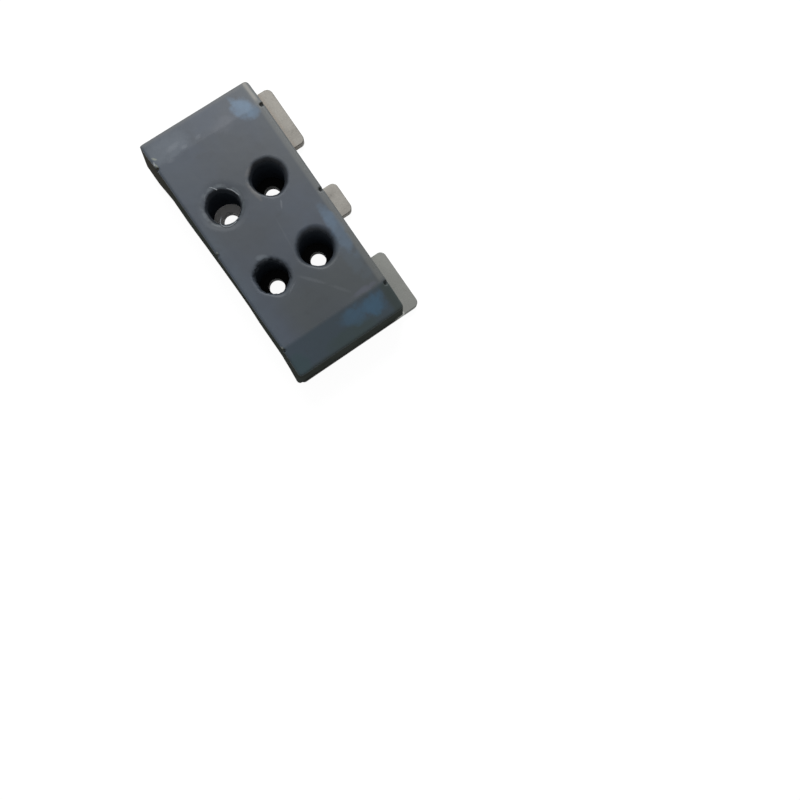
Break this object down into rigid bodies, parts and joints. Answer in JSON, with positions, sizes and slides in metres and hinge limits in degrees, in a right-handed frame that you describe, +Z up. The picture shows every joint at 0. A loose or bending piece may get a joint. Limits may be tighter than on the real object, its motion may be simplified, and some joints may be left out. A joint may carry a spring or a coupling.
{
  "type": "paver track plate",
  "caption": "Flat steel track plate with a cast polyurethane tread pad on top, bevelled at both ends, with counterbored bolt holes and tabs along one long side.",
  "frame": {"origin": "middle of the bolt pattern, on the plate's underside", "axes": "+X along the plate, across the machine's track; +Y towards the tabs; +Z up, out of the tread"},
  "size_m": [0.3, 0.1635, 0.05],
  "materials": {
    "bare_steel": "dull",
    "polyurethane": "satin"
  },
  "bodies": {
    "root": {"steel_plate": "bare_steel", "tread_pad": "polyurethane"}
  },
  "joints": []
}
